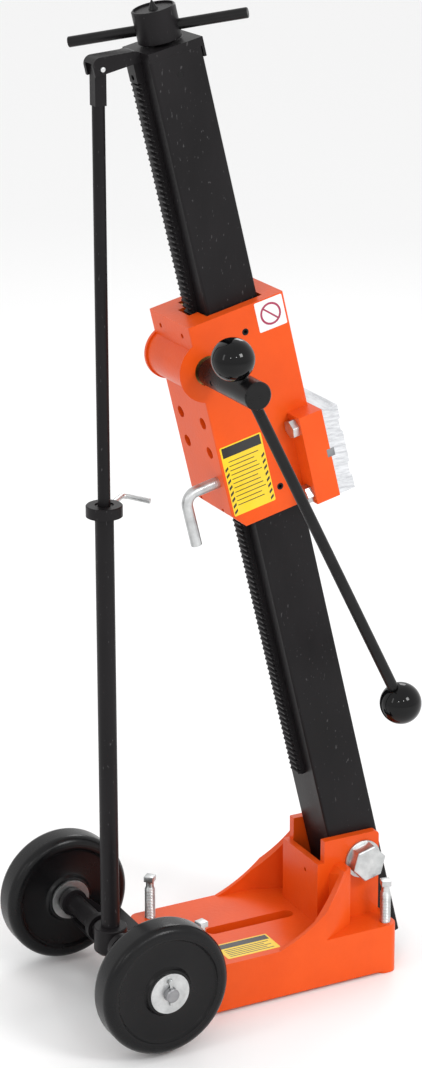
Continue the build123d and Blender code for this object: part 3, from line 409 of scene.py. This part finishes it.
# levelling screws: threaded shank, neck and square head
BOLT_PITCH = 1.954
NECK = [(0, 97.0), (5.9, 97.0), (5.2, 98.6), (4.75, 99.4), (4.75, 106.2), (0, 106.2)]
for k, body in enumerate(LEVEL_SCREWS):
    lo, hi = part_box(body)
    foot = Vector(((lo.x + hi.x) / 2, (lo.y + hi.y) / 2, 0))
    screw_thread(f"{body}_thread", 6.35, BOLT_PITCH, 96.5, foot + Z * 1.5 * MM, Z, body, "zinc", 0.75,
                 (body,))
    turned(f"{body}_neck", NECK, foot, Z, body, "zinc", count=32)
    square_head(f"{body}_head", foot, 5.75, 106.0, 113.0, 12 + 31 * k, body, "zinc")

# the jack's screw and the lock bolt's thread
screw_thread("jack_screw_thread", 9.52, 2.54, 128, mast(0, 0, 883.5), UP, "jack", "black_oxide", 1.0,
             ("jack_screw",))
screw_thread("lock_bolt_thread", 6.62, BOLT_PITCH, 22, mast(-66, -30, 517.3), -ACROSS, "lock", "zinc", 0.5)

# wheels and tyres: one profile each, mirrored about the wheel's middle
WHEEL_FACE = [(11.14, 19.7), (25.2, 19.7), (26.3, 19.2), (27.2, 17.6), (29.0, 15.6), (31.5, 15.0),
              (56.5, 15.0), (58.8, 15.5), (60.4, 17.2), (61.2, 18.6), (62.0, 19.0), (64.5, 19.0)]
TYRE_FACE = [(64.5, 19.0), (65.4, 18.85), (66.2, 18.9)]
TYRE_RADIUS = 76.2
SHOULDER = 10.0
for k in range(11):
    a = math.radians(90 * k / 10)
    TYRE_FACE.append((TYRE_RADIUS - SHOULDER + SHOULDER * math.sin(a), 9.0 + SHOULDER * math.cos(a)))


def both_faces(profile):
    """A closed profile from one face and its mirror image."""
    return profile + [(r, -h) for r, h in reversed(profile)] + [profile[0]]


for side, sign in SIDES:
    centre = Vector((-0.181, sign * 0.1309, 0.0825))
    body = f"{side}_wheel"
    turned(f"wheel_{side}_disc", both_faces(WHEEL_FACE), centre, Y * sign, body, "wheel_paint",
           (f"wheel_{side}",), count=96)
    turned(f"tyre_{side}_tread", both_faces(TYRE_FACE), centre, Y * sign, body, "tyre_rubber",
           (f"tyre_{side}",), count=96)


# labels: a hazard panel on the carriage, a round mark above it, a strip on the base
def hazard(width, height, header, lines):
    """A header bar, slanted stripes down both edges and plain lines between them."""
    stripe, rise, step, margin = 4.2, 3.2, 7.4, 1.2
    marks = [(bar(2.0, height - header - 1.5, width - 2.0, height - 1.5), "label_black")]
    y = 2.0
    while y + 8 < height - header - 4:
        for x0 in (margin, width - stripe - margin):
            x1 = x0 + stripe
            marks.append(([(x0, y), (x1, y + rise), (x1, y + 2 * rise), (x0, y + rise)], "label_black"))
        y += step
    y = height - header - 7
    for k in range(lines):
        right = width - stripe - 3.4 - (k * 7 % 4) * 2.1
        marks.append((bar(stripe + 3.0, y - 1.0, right, y), "label_black"))
        y -= (height - header - 14) / lines
    return marks


CARRIAGE_SIDE = -48.5
label("carriage_panel", mast(-62, CARRIAGE_SIDE, 478.5), ACROSS, UP, 53, 84, "carriage", "label_yellow",
      hazard(53, 84, 12, 11))
label("carriage_mark", mast(17, CARRIAGE_SIDE, 672.5), ACROSS, UP, 35, 35, "carriage", "label_white",
      ring_marks(17.5, 17.5, 10.5, 13.0, "label_red")
      + [([(9.2, 24.4), (10.6, 25.8), (25.8, 10.6), (24.4, 9.2)], "label_red")])
DECK_LINES = [(bar(5, 4 + 3.9 * k, 62 - 7 * (k % 2), 5.3 + 3.9 * k), "label_black") for k in range(5)]
label("deck_panel", Vector((-0.066, -0.072, 0.0603)), X, Y, 68, 37, "frame", "label_yellow",
      [(bar(2, 24.5, 66, 35), "label_black")] + DECK_LINES)

# ---- floor, light and camera --------------------------------------------------
bm = bmesh.new()
bmesh.ops.create_grid(bm, x_segments=1, y_segments=1, size=14)
floor = solid("floor", bm)
scene.collection.objects.link(floor)
floor.location = (0, 0, -0.0006)
pale = bpy.data.materials.new("pale_floor")
pale.use_nodes = True
paint = pale.node_tree.nodes["Principled BSDF"]
paint.inputs["Base Color"].default_value = (0.9, 0.9, 0.9, 1)
paint.inputs["Roughness"].default_value = 0.9
floor.data.materials.append(pale)

world = bpy.data.worlds.new("studio")
scene.world = world
world.use_nodes = True
sky = world.node_tree.nodes["Background"]
sky.inputs["Color"].default_value = (1, 1, 1, 1)
sky.inputs["Strength"].default_value = 1.0


def lamp(name, place, target, size, power, size_y=None):
    """A soft area lamp aimed at a point."""
    data = bpy.data.lights.new(name, "AREA")
    data.energy = power
    data.size = size
    if size_y:
        data.shape = "RECTANGLE"
        data.size_y = size_y
    obj = bpy.data.objects.new(name, data)
    scene.collection.objects.link(obj)
    obj.location = place
    obj.rotation_mode = "QUATERNION"
    obj.rotation_quaternion = (Vector(target) - Vector(place)).to_track_quat("-Z", "Y")


lamp("key", (0.9, -2.6, 2.3), (0, 0, 0.5), 0.8, 34)
lamp("side", (-2.6, -0.6, 1.7), (0, 0, 0.6), 0.4, 5, 1.2)
lamp("rim", (1.6, 2.0, 2.2), (0, 0, 0.6), 1.0, 14)
lamp("spark_left", (-1.9, -2.3, 1.9), (-0.1, -0.1, 0.7), 0.16, 5)
lamp("spark_right", (-0.5, -2.9, 2.1), (0, -0.1, 0.6), 0.16, 5)

PHOTO_HEIGHT = 1068
FOCAL_PIXELS = 2893.0
PITCH, YAW = math.radians(14.0), math.radians(27.27)
cam_data = bpy.data.cameras.new("camera")
camera = bpy.data.objects.new("camera", cam_data)
scene.collection.objects.link(camera)
camera.location = (-1.473, -2.753, 1.6012)
look = Vector((math.sin(YAW) * math.cos(PITCH), math.cos(YAW) * math.cos(PITCH), -math.sin(PITCH)))
camera.rotation_mode = "QUATERNION"
camera.rotation_quaternion = look.to_track_quat("-Z", "Y")
cam_data.sensor_fit = "AUTO"
cam_data.sensor_width = 36.0
cam_data.lens = cam_data.sensor_width * FOCAL_PIXELS / PHOTO_HEIGHT
cam_data.shift_x = 0.0018
cam_data.shift_y = -0.2258
cam_data.clip_start = 0.05
cam_data.clip_end = 60
scene.camera = camera
scene.view_settings.view_transform = "Standard"
